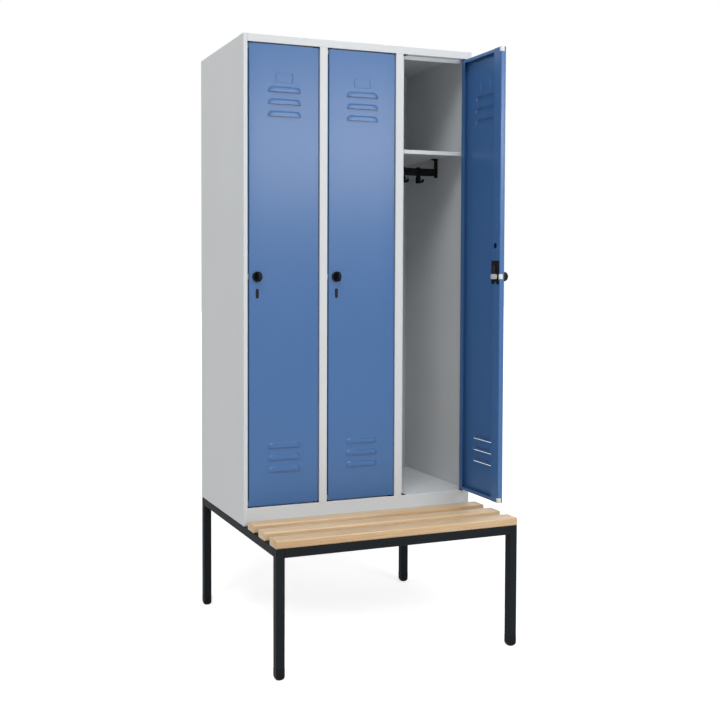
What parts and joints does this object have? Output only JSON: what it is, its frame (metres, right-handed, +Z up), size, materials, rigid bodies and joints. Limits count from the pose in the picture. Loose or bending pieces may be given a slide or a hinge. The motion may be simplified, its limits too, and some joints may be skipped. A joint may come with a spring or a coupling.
{
  "type": "locker with bench",
  "caption": "Sheet-steel clothes locker with louvred hinged doors and turn latches, on a square-tube stand that carries a slatted wooden bench in front.",
  "frame": {"origin": "on the floor, at the middle of the stand's width and depth", "axes": "+Z up, +X to the right seen from the front, +Y to the rear; the doors and the bench face -Y"},
  "size_m": [0.9156, 0.8156, 2.125],
  "materials": {
    "body_paint": "light grey powder coat, fine texture, satin",
    "door_paint": "blue powder coat, satin",
    "stand_paint": "anthracite powder coat, satin matt",
    "beech": "clear-lacquered solid beech, rounded edges",
    "black_plastic": "moulded, matt",
    "knob_plastic": "moulded, satin gloss",
    "latch_steel": "bright zinc plated"
  },
  "bodies": {
    "locker": {"back": "body_paint", "coat_rail_1": "black_plastic", "coat_rail_2": "black_plastic", "coat_rail_3": "black_plastic", "cross_rail": "stand_paint", "divider_1": "body_paint", "divider_2": "body_paint", "floor": "body_paint", "foot_front_left": "black_plastic", "foot_front_right": "black_plastic", "foot_rear_left": "black_plastic", "foot_rear_right": "black_plastic", "leg_front_left": "stand_paint", "leg_front_right": "stand_paint", "leg_rear_left": "stand_paint", "leg_rear_right": "stand_paint", "pivot_lower_1": "black_plastic", "pivot_lower_2": "black_plastic", "pivot_lower_3": "black_plastic", "pivot_upper_1": "black_plastic", "pivot_upper_2": "black_plastic", "pivot_upper_3": "black_plastic", "rail_front": "stand_paint", "rail_left": "stand_paint", "rail_rear": "stand_paint", "rail_right": "stand_paint", "roof": "body_paint", "shelf_1": "body_paint", "shelf_2": "body_paint", "shelf_3": "body_paint", "side_left": "body_paint", "side_right": "body_paint", "slat_1": "beech", "slat_2": "beech", "slat_3": "beech"},
    "door_1": {"door_1": "door_paint", "lock_plate_1": "black_plastic", "slot_insert_1": "black_plastic"},
    "latch_1": {"knob_1": "knob_plastic", "cam_1": "latch_steel"},
    "door_2": {"door_2": "door_paint", "lock_plate_2": "black_plastic", "slot_insert_2": "black_plastic"},
    "latch_2": {"knob_2": "knob_plastic", "cam_2": "latch_steel"},
    "door_3": {"door_3": "door_paint", "lock_plate_3": "black_plastic", "slot_insert_3": "black_plastic"},
    "latch_3": {"knob_3": "knob_plastic", "cam_3": "latch_steel"},
    "hook_1_1": {"hook_1_1": "black_plastic"},
    "hook_1_2": {"hook_1_2": "black_plastic"},
    "hook_1_3": {"hook_1_3": "black_plastic"},
    "hook_2_1": {"hook_2_1": "black_plastic"},
    "hook_2_2": {"hook_2_2": "black_plastic"},
    "hook_2_3": {"hook_2_3": "black_plastic"},
    "hook_3_1": {"hook_3_1": "black_plastic"},
    "hook_3_2": {"hook_3_2": "black_plastic"},
    "hook_3_3": {"hook_3_3": "black_plastic"}
  },
  "joints": [
    {"name": "door_1_hinge", "type": "hinge", "parent": "locker", "child": "door_1", "pos_m": [-0.174, -0.0875, 0.492], "axis": [0, 0, 1], "range_deg": [0, 110]},
    {"name": "latch_1_turn", "type": "hinge", "parent": "door_1", "child": "latch_1", "pos_m": [-0.4, -0.0925, 1.292], "axis": [0, -1, 0], "range_deg": [0, 90]},
    {"name": "door_2_hinge", "type": "hinge", "parent": "locker", "child": "door_2", "pos_m": [0.126, -0.0875, 0.492], "axis": [0, 0, 1], "range_deg": [0, 110]},
    {"name": "latch_2_turn", "type": "hinge", "parent": "door_2", "child": "latch_2", "pos_m": [-0.1, -0.0925, 1.292], "axis": [0, -1, 0], "range_deg": [0, 90]},
    {"name": "door_3_hinge", "type": "hinge", "parent": "locker", "child": "door_3", "pos_m": [0.426, -0.0875, 0.492], "axis": [0, 0, 1], "range_deg": [-90, 20]},
    {"name": "latch_3_turn", "type": "hinge", "parent": "door_3", "child": "latch_3", "pos_m": [0.431, -0.3135, 1.292], "axis": [1, 0, 0], "range_deg": [0, 90]},
    {"name": "hook_1_1_slide", "type": "slide", "parent": "locker", "child": "hook_1_1", "axis": [1, 0, 0], "range_m": [-0.069, 0.028]},
    {"name": "hook_1_2_slide", "type": "slide", "parent": "locker", "child": "hook_1_2", "axis": [1, 0, 0], "range_m": [-0.028, 0.028]},
    {"name": "hook_1_3_slide", "type": "slide", "parent": "locker", "child": "hook_1_3", "axis": [1, 0, 0], "range_m": [-0.028, 0.069]},
    {"name": "hook_2_1_slide", "type": "slide", "parent": "locker", "child": "hook_2_1", "axis": [1, 0, 0], "range_m": [-0.069, 0.028]},
    {"name": "hook_2_2_slide", "type": "slide", "parent": "locker", "child": "hook_2_2", "axis": [1, 0, 0], "range_m": [-0.028, 0.028]},
    {"name": "hook_2_3_slide", "type": "slide", "parent": "locker", "child": "hook_2_3", "axis": [1, 0, 0], "range_m": [-0.028, 0.069]},
    {"name": "hook_3_1_slide", "type": "slide", "parent": "locker", "child": "hook_3_1", "axis": [1, 0, 0], "range_m": [-0.069, 0.028]},
    {"name": "hook_3_2_slide", "type": "slide", "parent": "locker", "child": "hook_3_2", "axis": [1, 0, 0], "range_m": [-0.028, 0.028]},
    {"name": "hook_3_3_slide", "type": "slide", "parent": "locker", "child": "hook_3_3", "axis": [1, 0, 0], "range_m": [-0.028, 0.069]}
  ]
}
